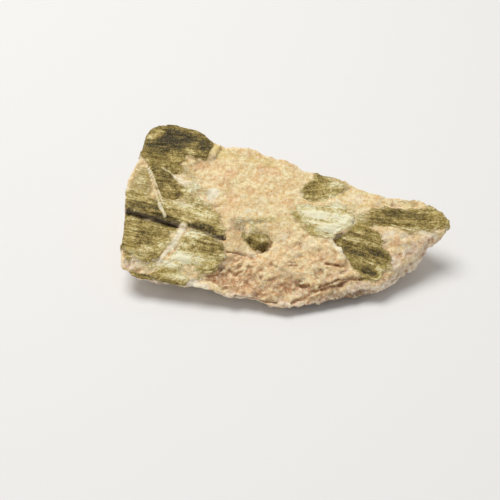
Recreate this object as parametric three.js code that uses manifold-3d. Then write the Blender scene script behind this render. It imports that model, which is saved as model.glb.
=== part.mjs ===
// A rough hand specimen of green tourmaline: a broken block of pink feldspar and mica, with striated
// tourmaline crystals running through its broken face. Lengths are in millimetres and +Z is up.
// The block rests on a small flat facet, and its broken face leans back towards the light.
import * as THREE from "three";
import { LoftGeometry } from "three/addons/geometries/LoftGeometry.js";
import { SimplexNoise } from "three/addons/math/SimplexNoise.js";
import { mergeVertices } from "three/addons/utils/BufferGeometryUtils.js";
import Module from "manifold-3d";

// Driving dimensions
const FACE_LEAN = THREE.MathUtils.degToRad(22); // the broken face's lean from level
const FACE_HEIGHT = 15.8; // height of the broken face's middle above the ground
const CRYSTAL_GAP = 0.3; // clearance between a crystal and the socket it grew in
const CROWN_RISE = 6; // how far the uncut block stands above the broken face
const STRIA_PITCH = 1.0; // spacing of the grooves along a crystal
const STRIA_DEPTH = 0.28; // depth of those grooves
const FACE_CELL = 1.75; // spacing of the points that shape the broken face
const SEED = 7;

const wasm = await Module();
wasm.setup();

THREE.MathUtils.seededRandom(SEED);
const random = () => THREE.MathUtils.seededRandom();
const noise = new SimplexNoise({ random });

// The broken face has its own axes: u along the block, v up the slope and w out of the face.
const faceToBlock = new THREE.Matrix4()
  .makeTranslation(0, 0, FACE_HEIGHT)
  .multiply(new THREE.Matrix4().makeRotationX(FACE_LEAN));

// Height of the mean broken face over a point of the ground plan.
const planeHeight = (y) => FACE_HEIGHT + y * Math.tan(FACE_LEAN);

// Stations around the block, counter-clockwise from its front left corner. rim is the plan position
// of the broken face's edge, belly the widest place below it, foot the plan position where the wall
// turns under, and facet the corner of the flat facet that the block rests on.
const STATIONS = [
  { rim: [-44.6, -14.4], belly: [-44.4, -14.4, 7.4], foot: [-31, -8], facet: [-18, -5] },
  { rim: [-42.6, -16.4], belly: [-42.8, -16.2, 7.2], foot: [-29, -9], facet: [-17, -6] },
  { rim: [-33.7, -18.6], belly: [-34.3, -18.2, 6.4], foot: [-24, -11.5], facet: [-15, -7] },
  { rim: [-23.1, -20.8], belly: [-22.5, -20.0, 4.8], foot: [-16, -14], facet: [-11, -8.5] },
  { rim: [-12, -23.2], belly: [-12, -21.9, 3.2], foot: [-9, -16], facet: [-6, -9.5] },
  { rim: [-2, -22.8], belly: [-2.1, -23.8, 2.7], foot: [-1, -18], facet: [0, -10] },
  { rim: [6, -20.8], belly: [5.5, -23.5, 2.7], foot: [6, -17.5], facet: [5, -10] },
  { rim: [13, -18.4], belly: [12.5, -21.2, 3], foot: [13, -15.5], facet: [9, -9.5] },
  { rim: [18.5, -17.2], belly: [19.4, -19.9, 2.7], foot: [18.5, -15], facet: [13, -9] },
  { rim: [23.3, -18.4], belly: [25, -18.2, 2.7], foot: [23.5, -13], facet: [16, -8] },
  { rim: [28.5, -13.9], belly: [30.8, -14.9, 3.7], foot: [27, -9], facet: [18, -6] },
  { rim: [34, -10], belly: [34.8, -12.3, 5.5], foot: [29, -4], facet: [19, -3.5] },
  { rim: [39.5, -7.2], belly: [38.3, -8.6, 8.5], foot: [30, 0], facet: [19, -1] },
  { rim: [45.2, -3.2], belly: [43.6, -4.7, 12], foot: [30, 4], facet: [17.5, 1.5] },
  { rim: [36.2, 2.0], belly: [34.5, 3.6, 9], foot: [25, 8], facet: [14, 4] },
  { rim: [23.3, 4.8], belly: [23, 8, 9], foot: [16, 11], facet: [9, 6.5] },
  { rim: [4.4, 11.4], belly: [5, 15, 10], foot: [3, 15], facet: [3, 8.5] },
  { rim: [-9, 15.9], belly: [-8, 20, 10.5], foot: [-9, 18], facet: [-4, 10] },
  { rim: [-19.5, 18.1], belly: [-18, 23, 12], foot: [-17, 20], facet: [-9, 10.5] },
  { rim: [-24.6, 22], belly: [-24, 25, 12.5], foot: [-22, 21], facet: [-12, 10] },
  { rim: [-30.8, 24.4], belly: [-30.5, 26, 13], foot: [-27, 19], facet: [-15, 9] },
  { rim: [-37.7, 22.8], belly: [-37, 22, 12], foot: [-31.5, 15], facet: [-17.5, 7] },
  { rim: [-41.2, 14], belly: [-40.5, 13.5, 11], foot: [-34, 9], facet: [-19, 4] },
  { rim: [-43.8, 3], belly: [-42.6, 2.5, 9.5], foot: [-35, 2], facet: [-19.5, 1] },
  { rim: [-44.4, -6.5], belly: [-43.9, -6.5, 8], foot: [-34, -4], facet: [-19.5, -2] },
];
const FOOT_HEIGHT = 1.4;
const COLUMNS_PER_STATION = 3;
const FACET_EDGE_HEIGHT = 0.35; // lowest that the wall comes outside the resting facet
const WALL_ROWS = [0.5, 0.8, 1, 1.33, 1.67, 2, 2.2, 2.4, 2.6, 2.8, 3, 3.5, 4]; // along the profile

// Hollows and mounds on the broken face: middle (u, v), reach and height.
const FACE_FEATURES = [
  { name: "crystal hollow", at: [-8.4, -9.6], reach: 3.6, height: -2.4 },
  { name: "left pock", at: [-15.6, -18.4], reach: 2.4, height: -1.2 },
  { name: "middle pock", at: [-12.0, -15.6], reach: 1.8, height: -0.8 },
  { name: "front pock", at: [3.1, -21.6], reach: 2.2, height: -1.3 },
  { name: "block beside the dark crystal", at: [11.5, -14.5], reach: 5.5, height: 1.3 },
  { name: "peach knob", at: [29.5, -9.5], reach: 3.4, height: 0.9 },
  { name: "cream swell", at: [-8, 10], reach: 9, height: 0.7 },
  { name: "pink swell", at: [-3, -17.5], reach: 4.5, height: 0.8 },
  { name: "lath bump", at: [-15.2, -7.2], reach: 3.6, height: 0.7 },
];
// The ledge across the face: below this line the surface is coarser and drops towards the front.
const LEDGE = [
  [-50, -6],
  [-19.4, -9.2],
  [-14.8, -11.8],
  [-9.5, -12.2],
  [-4.1, -8.7],
  [0.7, -6.6],
  [11.4, -8.2],
  [30, -7],
  [50, -4],
];
const LEDGE_SLOPE = 0.11;
const LEDGE_DROP = 0.5;

// Crystals. outline is what shows on the broken face (u, v), azimuth the direction of the crystal's
// length, depth how deep it sits, and flats its broad facets across that length, as pairs of a
// share of its half width and a height w.
const CRYSTALS = [
  {
    name: "tourmaline_peak",
    colour: 0x6f6434,
    azimuth: -9,
    depth: 9,
    outline: [
      [-41.7, 18.6], [-41, 24], [-37.7, 29], [-30.9, 31], [-22, 28], [-16.5, 21.8],
      [-19.7, 16.2], [-22.2, 14.6], [-24.9, 14.0], [-27.7, 13.4], [-29.0, 10.9], [-29.5, 7.5],
      [-29.4, 3.9], [-30.9, 2.6], [-33.4, 3.6], [-35.5, 6.9], [-37.3, 11.2], [-39.1, 15.3],
    ],
    flats: [[-1, -1.2], [-0.45, 0.1], [0.1, 0.9], [0.55, 0.4], [1, -2.2]],
    endFacet: { at: [-38.6, 24.6, 0.4], outward: [-0.72, 0.28, 0.64] },
  },
  {
    name: "tourmaline_left_band",
    colour: 0x7c7140,
    azimuth: -17,
    depth: 7,
    outline: [
      [-49, 5.9], [-42.8, 5.4], [-39.5, 4.5], [-35.0, 2.4], [-30.1, 1.5], [-25.8, 1.4],
      [-21.9, 0.8], [-19.4, -1.3], [-17.4, -4.5], [-16.9, -9.0], [-23.4, -6.7], [-29.4, -4.4],
      [-37.0, -2.1], [-43.1, 0.2], [-49, 1.9],
    ],
    flats: [[-1, -1.3], [-0.72, 1.3], [-0.1, 0.9], [0.5, 0.5], [1, -0.6]],
  },
  {
    name: "tourmaline_left_dull",
    colour: 0x857a45,
    azimuth: -14,
    depth: 5,
    outline: [
      [-49, 0.9], [-43.0, -0.8], [-37.0, -3.1], [-29.4, -5.4], [-30.9, -8.7], [-32.6, -11.6],
      [-34.4, -13.4], [-37.3, -14.5], [-40.3, -13.7], [-42.5, -11.6], [-49, -11.0],
    ],
    flats: [[-1, -0.9], [-0.5, -0.1], [0.4, -0.3], [1, -1.0]],
  },
  {
    name: "tourmaline_left_sheen",
    colour: 0xa39a62,
    azimuth: -12,
    depth: 5,
    outline: [
      [-25.6, -6.1], [-22.3, -7.9], [-17.3, -10.3], [-17.0, -13.9], [-18.7, -17.3],
      [-21.9, -18.1], [-24.2, -20.1], [-28.4, -21.9], [-33.7, -20.6], [-36.6, -18.4],
      [-33.4, -16.3], [-31.0, -14.5], [-29.4, -12.1], [-27.6, -8.9],
    ],
    flats: [[-1, -1.5], [-0.35, -0.5], [0.35, 0.1], [0.8, 0.4], [1, -0.3]],
  },
  {
    name: "tourmaline_hollow",
    colour: 0x6a6034,
    azimuth: 38,
    depth: 8,
    outline: [
      [-12.7, -3.1], [-10.0, -3.7], [-6.8, -3.9], [-4.9, -5.7], [-4.7, -9.2], [-5.7, -11.9],
      [-8.9, -11.6], [-11.1, -9.2], [-12.7, -6.3],
    ],
    flats: [[-1, -3.4], [-0.3, -2.0], [0.25, -0.6], [1, -0.5]],
  },
  {
    name: "tourmaline_olive",
    colour: 0x8d7f3c,
    azimuth: 4,
    depth: 7,
    outline: [
      [3.7, 5.1], [5.3, 7.5], [7.6, 9.4], [8.2, 14.5], [13, 14], [17.4, 9.6], [16, 6.5],
      [13.5, 5.1], [12.1, 3.5], [10.4, 2.1], [6.8, 1.8], [4.4, 2.8],
    ],
    flats: [[-1, -0.5], [-0.4, 0.2], [0.3, 0.3], [1, -0.9]],
  },
  {
    name: "tourmaline_pale",
    colour: 0xcfc88f,
    azimuth: -10,
    depth: 5,
    outline: [
      [2.9, 0.4], [4.6, 1.0], [9.0, 0.8], [13.1, 1.1], [17.2, 1.2], [17.8, -1.9],
      [16.9, -4.9], [15.0, -6.2], [12.5, -8.0], [9.3, -7.6], [6.1, -6.0], [4.0, -3.6],
    ],
    flats: [[-1, -0.7], [-0.55, 0.3], [0.2, 0.5], [0.75, 0.3], [1, -0.2]],
  },
  {
    name: "tourmaline_dark",
    colour: 0x5f5732,
    azimuth: -24,
    depth: 6,
    outline: [
      [11.7, -8.5], [15.5, -7.2], [17.7, -5.9], [22.0, -5.9], [25.3, -6.7], [25.7, -8.7],
      [25.4, -11.0], [26.7, -12.7], [27.9, -14.4], [26.5, -16.7], [25.3, -19.0],
      [22.9, -20.0], [20.2, -19.2], [18.0, -17.3], [16.5, -15.0], [14.7, -12.7], [12.9, -10.7],
    ],
    flats: [[-1, -2.4], [-0.45, -1.7], [0.0, -1.2], [0.45, -0.3], [1, 0.1]],
  },
  {
    name: "tourmaline_tip",
    colour: 0x756a36,
    azimuth: -2,
    depth: 4.5,
    outline: [
      [21.6, -3.1], [23.1, -0.4], [24.2, 0.9], [26.6, 0.5], [29.8, -0.1], [33.3, -0.7],
      [37.2, 0.1], [40.6, 2.5], [49, 3], [49, -5], [43.5, -5.2], [39.9, -6.3], [36.9, -7.3],
      [33.5, -6.6], [29.0, -5.6], [25.8, -5.1], [23.1, -4.3],
    ],
    flats: [[-1, -1.1], [-0.4, 0.1], [0.2, 0.5], [1, -0.4]],
  },
];
const OUTLINE_STEP = 2.1; // longest straight run of a crystal's ragged outline
const OUTLINE_JITTER = 0.32;
const KEEL_SHARE = 0.5; // share of a crystal's depth that keeps its full width
const KEEL_WIDTH = 0.45; // width of its hidden keel, as a share of its own

const lerp = THREE.MathUtils.lerp;
const smoothstep = THREE.MathUtils.smoothstep;

// Noise in three dimensions whose lumps are `size` across.
const lumps = (x, y, z, size) => noise.noise3d(x / size, y / size, z / size);

// A closed geometry as a solid that can be joined and cut.
function solidOf(geometry) {
  geometry.deleteAttribute("uv");
  geometry.deleteAttribute("normal");
  const merged = mergeVertices(new THREE.BufferGeometry().copy(geometry), 1e-4);
  return new wasm.Manifold(
    new wasm.Mesh({
      numProp: 3,
      vertProperties: merged.getAttribute("position").array,
      triVerts: new Uint32Array(merged.index.array),
    }),
  );
}

// A solid back as a geometry, with the flat shading that broken stone needs.
function geometryOf(solid) {
  const mesh = solid.getMesh();
  const geometry = new THREE.BufferGeometry();
  const position = new THREE.BufferAttribute(new Float32Array(mesh.vertProperties), 3);
  geometry.setAttribute("position", position);
  geometry.setIndex(new THREE.BufferAttribute(new Uint32Array(mesh.triVerts), 1));
  geometry.computeVertexNormals();
  return geometry;
}

// Value at x of the line through points sorted along their first number.
function alongLine(points, x) {
  const next = points.findIndex(([at]) => at >= x);
  if (next <= 0) return points[next === 0 ? 0 : points.length - 1][1];
  const [x0, y0] = points[next - 1];
  const [x1, y1] = points[next];
  return lerp(y0, y1, (x - x0) / (x1 - x0));
}

// The closed contour through one place of every station.
function contour(places) {
  const curve = new THREE.CatmullRomCurve3(places, true, "catmullrom", 0.4);
  return curve.getPoints(places.length * COLUMNS_PER_STATION).slice(0, -1);
}

// How far the wall stands out at a point: broad lumps, thin ledges along the block, and grain.
function wallRoughness(p) {
  const broad = 0.9 * lumps(p.x, p.y, p.z, 11);
  const ledges = 0.55 * noise.noise3d(p.x / 13, p.y / 13, p.z / 2.3 + 5);
  const grain = 0.4 * lumps(p.x, p.y, p.z, 3.2);
  return broad + ledges + grain;
}

// The whole block before its face is cut: a loft from the resting facet up past the rim.
function uncutBlock() {
  const crownPlace = ([x, y]) => {
    const out = 1 - CROWN_RISE * 0.004;
    return new THREE.Vector3(x * out, y * out, planeHeight(y) + CROWN_RISE);
  };
  const contours = [
    contour(STATIONS.map((s) => new THREE.Vector3(...s.facet, 0))),
    contour(STATIONS.map((s) => new THREE.Vector3(...s.foot, FOOT_HEIGHT))),
    contour(STATIONS.map((s) => new THREE.Vector3(...s.belly))),
    contour(STATIONS.map((s) => new THREE.Vector3(...s.rim, planeHeight(s.rim[1])))),
    contour(STATIONS.map((s) => crownPlace(s.rim))),
  ];
  const columns = contours[0].map(
    (_, i) =>
      new THREE.CatmullRomCurve3(
        contours.map((c) => c[i]),
        false,
        "centripetal",
      ),
  );
  const last = contours.length - 1;
  const rings = WALL_ROWS.map((row) => columns.map((column) => column.getPoint(row / last)));
  rings.flat().forEach((p) => (p.z = Math.max(p.z, FACET_EDGE_HEIGHT)));
  const facetRing = contours[0];
  const loft = new LoftGeometry([facetRing, ...rings], { capStart: true, capEnd: true });
  loft.deleteAttribute("uv");
  loft.deleteAttribute("normal");
  const skin = mergeVertices(new THREE.BufferGeometry().copy(loft), 1e-4);
  skin.computeVertexNormals();
  const position = skin.getAttribute("position");
  const normal = skin.getAttribute("normal");
  for (let i = 0; i < position.count; i++) {
    const p = new THREE.Vector3().fromBufferAttribute(position, i);
    if (p.z < FACET_EDGE_HEIGHT / 2) continue; // the resting facet stays flat
    const fade = smoothstep(p.z, 0, FOOT_HEIGHT * 2);
    const n = new THREE.Vector3().fromBufferAttribute(normal, i);
    p.addScaledVector(n, wallRoughness(p) * fade);
    p.z = Math.max(p.z, FACET_EDGE_HEIGHT);
    position.setXYZ(i, p.x, p.y, p.z);
  }
  return solidOf(skin);
}

// Height w of the broken matrix over a point of the face.
function faceHeight(u, v) {
  const below = alongLine(LEDGE, u) - v;
  const coarse = smoothstep(below, -1.2, 1.8);
  let w = 0.5 * lumps(u, v, 3, 10) + lerp(0.14, 0.42, coarse) * lumps(u, v, 9, 3.3);
  w += lerp(0.06, 0.3, coarse) * lumps(u, v, 17, 1.9);
  w += lerp(0.25, 0.7, coarse) * (0.4 - Math.abs(lumps(u, v, 23, 6)));
  w -= coarse * LEDGE_DROP + Math.max(0, below) * LEDGE_SLOPE;
  for (const { at, reach, height } of FACE_FEATURES) {
    const away = Math.hypot(u - at[0], v - at[1]) / reach;
    w += height * Math.exp(-away * away);
  }
  return w;
}

// What lies above the broken face, to cut away: a slab whose underside is the face's relief.
function aboveFace() {
  const length = 100;
  const width = 64;
  const slab = new THREE.BoxGeometry(
    length,
    width,
    2 * CROWN_RISE + 8,
    Math.round(length / FACE_CELL),
    Math.round(width / FACE_CELL),
    1,
  );
  const position = slab.getAttribute("position");
  for (let i = 0; i < position.count; i++) {
    if (position.getZ(i) > 0) continue;
    position.setZ(i, faceHeight(position.getX(i), position.getY(i)));
  }
  return solidOf(slab.applyMatrix4(faceToBlock));
}

// A crystal's outline with ragged edges, as grown into the stone around it.
function raggedOutline(outline) {
  const points = [];
  outline.forEach(([u0, v0], i) => {
    const [u1, v1] = outline[(i + 1) % outline.length];
    const steps = Math.max(1, Math.round(Math.hypot(u1 - u0, v1 - v0) / OUTLINE_STEP));
    for (let k = 0; k < steps; k++) {
      const jitter = () => (random() - 0.5) * 2 * OUTLINE_JITTER;
      points.push(new THREE.Vector2(lerp(u0, u1, k / steps) + jitter(), lerp(v0, v1, k / steps) + jitter()));
    }
  });
  return THREE.ShapeUtils.isClockWise(points) ? points.reverse() : points;
}

// A counter-clockwise outline moved out by `out`, or in where it is negative.
function offset(points, out) {
  return points.map((p, i) => {
    const before = points[(i + points.length - 1) % points.length];
    const after = points[(i + 1) % points.length];
    const along = after.clone().sub(before).normalize();
    return new THREE.Vector2(p.x + along.y * out, p.y - along.x * out);
  });
}

// A column over an outline on the face, from w = low to w = high.
function column(points, low, high) {
  const shape = new THREE.Shape(points);
  const geometry = new THREE.ExtrudeGeometry(shape, { depth: high - low, bevelEnabled: false });
  return solidOf(geometry.translate(0, 0, low).applyMatrix4(faceToBlock));
}

// A long prism that lies along a crystal: broad flats on top, grooved along its length where
// `grooved`, and a narrower keel below. `out` grows it on every side.
function prism(crystal, points, out, top) {
  const turn = THREE.MathUtils.degToRad(crystal.azimuth);
  const across = points.map((p) => p.y * Math.cos(turn) - p.x * Math.sin(turn));
  const along = points.map((p) => p.x * Math.cos(turn) + p.y * Math.sin(turn));
  const middle = (Math.min(...across) + Math.max(...across)) / 2;
  const half = (Math.max(...across) - Math.min(...across)) / 2 + out;
  const floor = -crystal.depth - out;
  const profile = [
    [half * KEEL_WIDTH, floor],
    [half, floor * KEEL_SHARE],
    ...top(half),
    [-half, floor * KEEL_SHARE],
    [-half * KEEL_WIDTH, floor],
  ];
  // The profile's first number runs across the crystal, and the extrusion runs along it.
  const shape = new THREE.Shape(profile.map(([q, w]) => new THREE.Vector2(q, w)));
  const length = Math.max(...along) - Math.min(...along) + 4;
  const geometry = new THREE.ExtrudeGeometry(shape, { depth: length, bevelEnabled: false });
  const lay = new THREE.Matrix4().makeBasis(
    new THREE.Vector3(-Math.sin(turn), Math.cos(turn), 0),
    new THREE.Vector3(0, 0, 1),
    new THREE.Vector3(Math.cos(turn), Math.sin(turn), 0),
  );
  const start = Math.min(...along) - 2;
  lay.setPosition(
    start * Math.cos(turn) - middle * Math.sin(turn),
    start * Math.sin(turn) + middle * Math.cos(turn),
    0,
  );
  return solidOf(geometry.applyMatrix4(lay).applyMatrix4(faceToBlock));
}

// The grooved upper side of a crystal, from one edge across to the other.
function grooves(crystal) {
  return (half) => {
    const count = Math.round((2 * half) / STRIA_PITCH) * 2;
    return Array.from({ length: count + 1 }, (_, i) => {
      const share = 1 - (2 * i) / count;
      const dip = i % 2 ? STRIA_DEPTH * (0.4 + 1.1 * random()) : 0;
      return [share * half, alongLine(crystal.flats, share) - dip];
    });
  };
}

// A crystal with a flat facet cut across its end.
function withEndFacet(solid, { at, outward }) {
  const normal = new THREE.Vector3(...outward).normalize().transformDirection(faceToBlock);
  const point = new THREE.Vector3(...at).applyMatrix4(faceToBlock);
  const inward = normal.clone().negate();
  return solid.trimByPlane(inward.toArray(), inward.dot(point));
}

const block = uncutBlock();
let matrix = block.subtract(aboveFace());
const solids = new Map();
for (const crystal of CRYSTALS) {
  const points = raggedOutline(crystal.outline);
  const inner = offset(points, -CRYSTAL_GAP / 2);
  const outer = offset(points, CRYSTAL_GAP / 2);
  const reach = 2 * CROWN_RISE;
  const body = prism(crystal, points, 0, grooves(crystal));
  let shown = column(inner, -crystal.depth - 1, reach).intersect(body).intersect(block);
  if (crystal.endFacet) shown = withEndFacet(shown, crystal.endFacet);
  const open = (half) => [[half, reach], [-half, reach]];
  const socket = column(outer, -crystal.depth - 1, reach).intersect(
    prism(crystal, points, CRYSTAL_GAP, open),
  );
  matrix = matrix.subtract(socket);
  solids.set(crystal, shown);
}

// The largest body of a solid: crumbs that a cut leaves loose fall off.
function largest(solid) {
  return solid.decompose().sort((a, b) => b.volume() - a.volume())[0];
}

function piece(name, solid, colour, roughness) {
  const material = new THREE.MeshStandardMaterial({ color: colour, roughness, metalness: 0 });
  material.flatShading = true;
  const mesh = new THREE.Mesh(geometryOf(largest(solid)), material);
  mesh.name = name;
  return mesh;
}

const specimen = new THREE.Group();
specimen.add(piece("feldspar_matrix", matrix, 0xd9c194, 0.85));
for (const [crystal, solid] of solids) {
  specimen.add(piece(crystal.name, solid, crystal.colour, 0.4));
}

// The origin is on the ground, under the middle of the block.
const box = new THREE.Box3().setFromObject(specimen);
const middle = box.getCenter(new THREE.Vector3());
specimen.position.set(-middle.x, -middle.y, 0);

export default specimen;
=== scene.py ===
import math

import bmesh
import bpy
import numpy as np
from mathutils import Matrix, Vector, noise
from mathutils.bvhtree import BVHTree


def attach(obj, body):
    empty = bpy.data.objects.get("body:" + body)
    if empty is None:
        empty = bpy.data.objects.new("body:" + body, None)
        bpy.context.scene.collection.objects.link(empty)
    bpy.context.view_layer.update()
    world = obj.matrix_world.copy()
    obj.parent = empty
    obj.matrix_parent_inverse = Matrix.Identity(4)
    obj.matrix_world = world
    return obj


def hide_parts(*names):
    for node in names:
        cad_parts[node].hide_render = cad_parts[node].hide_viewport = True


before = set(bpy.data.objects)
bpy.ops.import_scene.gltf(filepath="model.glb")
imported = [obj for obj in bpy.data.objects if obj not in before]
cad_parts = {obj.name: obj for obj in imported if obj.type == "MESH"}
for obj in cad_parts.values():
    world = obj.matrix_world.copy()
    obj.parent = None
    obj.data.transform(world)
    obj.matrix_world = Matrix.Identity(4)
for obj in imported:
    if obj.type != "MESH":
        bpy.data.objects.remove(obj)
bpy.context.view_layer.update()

# Lengths are in millimetres in the tables below, and in metres in the scene.
MM = 0.001

# The broken face has its own axes: u along the block, v up its slope and w out of it.
FACE_LEAN = math.radians(22)
FACE_MIDDLE = Vector((0.07, -0.93, 15.8))
FACE_TO_BLOCK = Matrix.Translation(FACE_MIDDLE) @ Matrix.Rotation(FACE_LEAN, 4, "X")
BLOCK_TO_FACE = np.array(FACE_TO_BLOCK.inverted())

STONE_VOXEL = 0.35
CRYSTAL_VOXEL = 0.27
SAME_POINT = 0.001  # vertices this near each other are one

CRYSTAL_GAP = 0.3  # what the solids keep free round each crystal
STONE_FILL = 0.65  # how far the stone closes that gap under the crystals
CRYSTAL_REACH = 0.9  # how far a crystal grows into the stone beside it
REACH_SWING = 0.5  # how much that varies along its edge
LOOK_BESIDE = 0.8  # how far out of a crystal's side stone is looked for
MAIN_TURN = -13  # how most of the crystals lie on the face, in degrees

# Past these places along the face the pointed end and the lower left corner are drawn in,
# to these shares of their length.
POINT_FROM = 42.0
POINT_SHARE = 0.6
CORNER_FROM = -43.8
CORNER_SHARE = 0.45

# Noise. Each kind gives the size of its lumps, one or one for each axis, and a seed.
GRAIN_SEED = 7  # sets how the cleaved grains lean
WARP = (2.4, 11.0)
FRAY = (0.9, 17.0)
FRAY_SHARE = 0.6
STRIPES = ((6, 0.9, 2), 41.0)
PITTING = (1.5, 61.0)
LEDGES = (1.0, 2.0)
CLEAVED = (2.6, 5.0)
FINELY_CLEAVED = (1.25, 9.0)
CHIPPED = (1.6, 23.0)
# These kinds have finer noise on top, so their size comes with a number of octaves and a seed.
BROAD = (4.2, 3, 3.0)
MEDIUM = (1.7, 4, 7.0)
CHIPS = (2.2, 3, 31.0)
CREEP = (1.3, 2, 51.0)
FADE = 0.9  # how fast each finer octave grows weaker
FINER = 2.1  # how much finer each octave is
LEAN_SPREAD = 7.3  # sets neighbouring grains' leans apart

# Relief of the stone in millimetres: how much it has of broad, medium, cleaved and finely cleaved
# noise, where the face is plain, where it is coarse, and on the walls.
PLAIN_RELIEF = (0.12, 0.08, 0.4, 0.3)
COARSE_RELIEF = (0.35, 0.3, 1.3, 0.7)
WALL_RELIEF = (0.3, 0.25, 0.8, 0.5)
LEDGE_RELIEF = 0.4
LEDGE_STRETCH = (9, 9, 1)  # ledges on the walls run parallel to the broken face
LEDGE_WARP = 0.5
LEDGE_CRISPNESS = 3
PIT_DEPTH = 0.5
WALL_PITS = 0.8  # the walls are pitted this much, where the coarse stone is pitted by 1
LATH_HEIGHT = 0.3
CRACK_DEPTH = 0.9
BROWN_DEPTH = 0.5
UNDER_CRYSTAL = 0.45  # how far the stone lies below its skin under a crystal
FULLY_LOW = 0.625  # a dip this deep gets the full painted crevice shade

# Relief of the crystals in millimetres. Grooves are given by their length, their width as a share
# of the crystal's pitch, their seed and their depth.
MAIN_GROOVES = (16, 1.0, 4.0, 0.16)
FINE_GROOVES = (9, 0.5, 8.0, 0.1)
STEPS = (5, 2.2, 13.0, 0.16)
GROOVE_GRAIN = 3  # how deep into the crystal a groove's noise keeps its shape
CHIPS_RELIEF = 0.12
CHIPPED_RELIEF = 0.15
CRYSTAL_RISE = 0.08
SUNK_EDGE = 0.8  # how far a crystal's border dips under the stone
RIM_RELIEF = 0.08
STONE_COVER = 0.7  # how far a crystal lies under a bare patch

# Patches and lines fade over these ranges of their own size, frayed by this much noise.
PATCH_EDGE = (0.35, 1.35)
PATCH_FRAY = 0.55
LINE_EDGE = (0.5, 1.3)
LINE_FRAY = 0.5
LATH_CALM = 0.3  # laths and the dark cracks are frayed less, by these shares
LATH_PAINT_CALM = 0.4
DARK_CRACK_CALM = 0.5

# How strongly the fields of colour show.
STRIPE_SHARES = (0.6, 0.8)  # fraying and stripes at the edges of dark, pale and yellow patches
CRYSTAL_FRAY = 0.9
CRYSTAL_ON_WALL = 0.6
LATH_OVER_CRYSTAL = 0.6
LATH_WHITE = 0.85
# Painted shade: brown along the cracks, and on the front wall, which faces down out of the light.
CRACK_PAINTED_SHADE = 0.75
SHADE_BROWN = 0.92

# Ranges over which something grows from none to its full.
OFF_FLOOR = (0.3, 1.5)  # relief, with the height over the floor
STONE_FACING = (0.2, 0.7)  # the stone's face, with how squarely it looks out of the broken face
CRYSTAL_FACING = (0.3, 0.75)  # the same for a crystal
FACE_W = (-4, -2)  # the broken face, with w
CRACK_W = (-5, -3)  # cracks, with w
PAINT_W = (-5, -2.5)  # patches of colour, with w
COARSE_BELOW = (-1.5, 2.0)  # coarse stone, with the distance below the ledge line
PITTED = (0.15, 0.45)  # pits, with their noise
COVERED = (0.5, 1.5)  # stone that falls away, with the depth inside a crystal
LOW_BESIDE = (-0.5, 0.3)  # painted crevice shade ends, with the depth inside a crystal
SUNK = (-0.3, 0.9)  # a crystal's border ends, with the distance from the stone
BESIDE = (0.55, 0.8)  # open sides of a crystal, with the distance from the stone there
GREEN_DEPTH = (-1.3, 1.1)  # crystal colour, with the depth inside a crystal
SHADED_U = (-6, 4)  # brown shade on the front wall begins, with u
SHADED_END_U = (19, 26)  # and ends
SHADED_END_V = (-6, 2)  # it is gone by the rear wall, with v

# Below this line on the face the stone is coarser.
LEDGE_LINE = [
    (-50, -6),
    (-19.4, -9.2),
    (-14.8, -11.8),
    (-9.5, -12.2),
    (-4.1, -8.7),
    (0.7, -6.6),
    (11.4, -8.2),
    (30, -7),
    (50, -4),
]

# Where that coarse stone is most crumbly, as a patch like those below.
CRUMBS = (-13, -18.6, 12, 5, -4, 1.0)
LEAST_COARSE = 0.4  # how coarse it is elsewhere
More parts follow.
